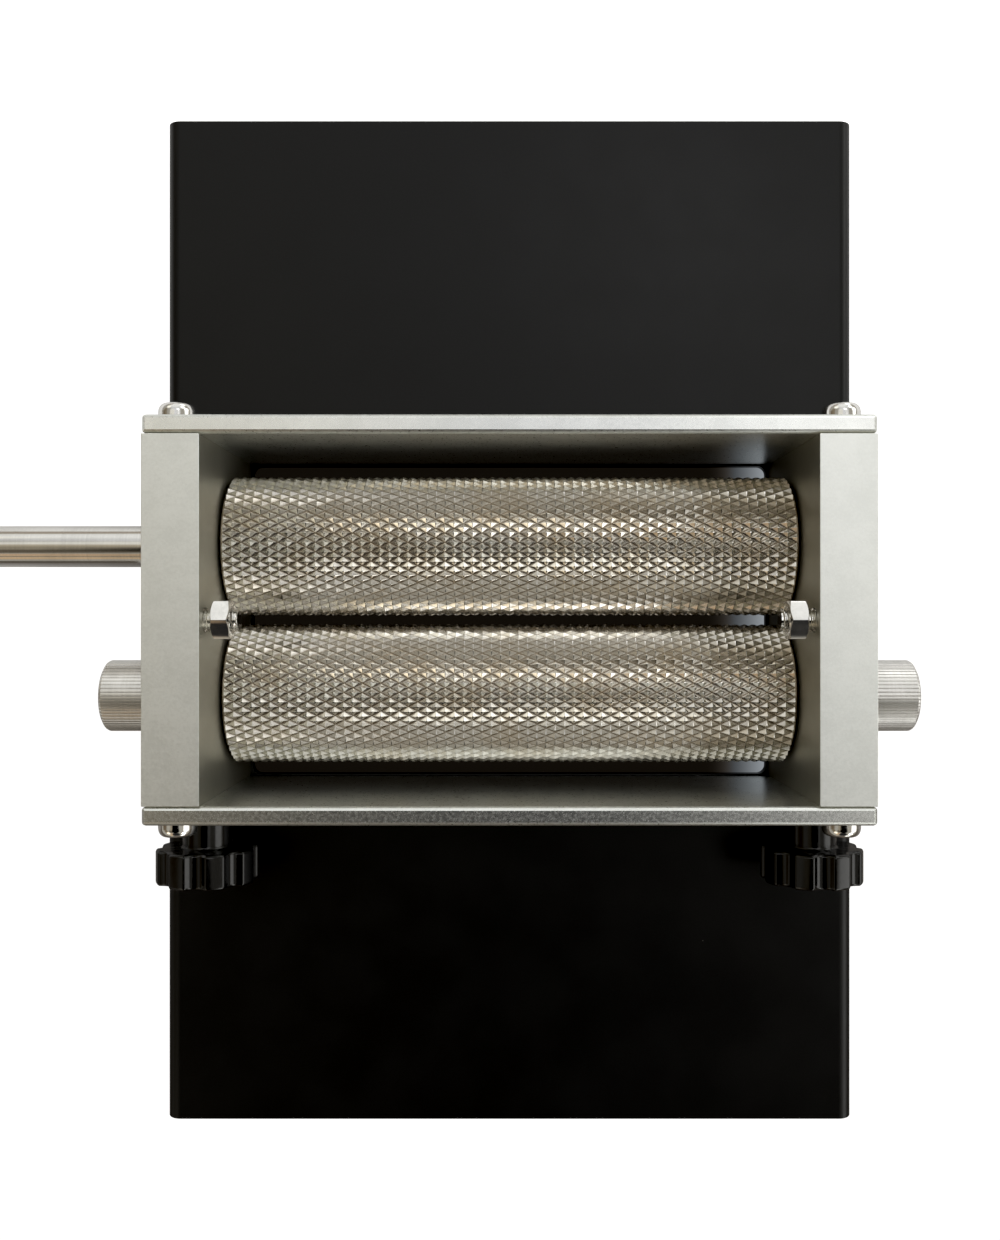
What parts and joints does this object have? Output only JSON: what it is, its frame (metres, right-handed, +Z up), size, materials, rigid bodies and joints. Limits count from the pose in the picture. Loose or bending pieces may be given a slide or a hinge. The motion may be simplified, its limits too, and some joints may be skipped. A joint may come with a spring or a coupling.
{
  "type": "two-roller grain mill",
  "caption": "Hand-adjusted grain mill: two knurled rollers in an aluminium frame on a folded steel base, with eccentric gap adjusters, clamp knobs and a drive shaft.",
  "frame": {"origin": "under the middle of the mill's bounding box, on the surface that it stands on; the middle of the frame is 22.55 mm to the right of it", "axes": "+Z up, +Y to the rear, away from the clamp knobs, +X to the right, along the rollers and away from the drive shaft's free end"},
  "size_m": [0.231, 0.247, 0.068],
  "materials": {
    "black_paint": "satin powder coat",
    "anodised_aluminium": "fine-blasted and anodised",
    "knurled_steel": "bright diamond knurl",
    "bright_steel": "ground and polished",
    "turned_aluminium": "turned, with a straight knurl",
    "plated_steel": "bright zinc or nickel plate",
    "black_plastic": "glossy moulding",
    "bronze": "sintered bronze"
  },
  "bodies": {
    "frame": {"base_plate": "black_paint", "cover_screw_front_left_upper": "plated_steel", "cover_screw_front_left_lower": "plated_steel", "base_screw_front_left": "plated_steel", "cover_screw_rear_left_upper": "plated_steel", "cover_screw_rear_left_lower": "plated_steel", "base_screw_rear_left": "plated_steel", "cover_screw_front_right_upper": "plated_steel", "cover_screw_front_right_lower": "plated_steel", "base_screw_front_right": "plated_steel", "cover_screw_rear_right_upper": "plated_steel", "cover_screw_rear_right_lower": "plated_steel", "base_screw_rear_right": "plated_steel", "front_cover": "anodised_aluminium", "rear_cover": "anodised_aluminium", "left_side_plate": "anodised_aluminium", "left_drive_bushing": "bronze", "left_hopper_stud": "plated_steel", "left_hopper_nut": "plated_steel", "right_side_plate": "anodised_aluminium", "right_drive_bushing": "bronze", "right_hopper_stud": "plated_steel", "right_hopper_nut": "plated_steel"},
    "drive_roller": {"drive_roller": "knurled_steel", "drive_shaft": "bright_steel"},
    "adjustable_roller": {"adjustable_roller": "knurled_steel", "adjustable_axle": "bright_steel"},
    "left_adjuster": {"left_adjuster": "turned_aluminium", "left_adjuster_bushing": "bronze"},
    "left_clamp": {"left_clamp_knob": "black_plastic", "left_clamp_stud": "plated_steel"},
    "right_adjuster": {"right_adjuster": "turned_aluminium", "right_adjuster_bushing": "bronze"},
    "right_clamp": {"right_clamp_knob": "black_plastic", "right_clamp_stud": "plated_steel"}
  },
  "joints": [
    {"name": "drive_roller_spin", "type": "hinge", "parent": "frame", "child": "drive_roller", "pos_m": [0.02255, 0.017, 0.038], "axis": [1, 0, 0], "continuous": true},
    {"name": "left_adjuster_turn", "type": "hinge", "parent": "frame", "child": "left_adjuster", "pos_m": [-0.04745, -0.0175, 0.038], "axis": [1, 0, 0], "range_deg": [-40, 70]},
    {"name": "right_adjuster_turn", "type": "hinge", "parent": "frame", "child": "right_adjuster", "pos_m": [0.09255, -0.0175, 0.038], "axis": [1, 0, 0], "range_deg": [-40, 70]},
    {"name": "adjustable_roller_spin", "type": "hinge", "parent": "left_adjuster", "child": "adjustable_roller", "pos_m": [0.02255, -0.017, 0.03648], "axis": [1, 0, 0], "continuous": true},
    {"name": "left_clamp_turn", "type": "hinge", "parent": "frame", "child": "left_clamp", "pos_m": [-0.04745, -0.05, 0.038], "axis": [0, -1, 0], "range_deg": [0, 360]},
    {"name": "right_clamp_turn", "type": "hinge", "parent": "frame", "child": "right_clamp", "pos_m": [0.09255, -0.05, 0.038], "axis": [0, -1, 0], "range_deg": [0, 360]}
  ],
  "couplings": [
    {"joint": "right_adjuster_turn", "follows": "left_adjuster_turn", "ratio": 1}
  ]
}
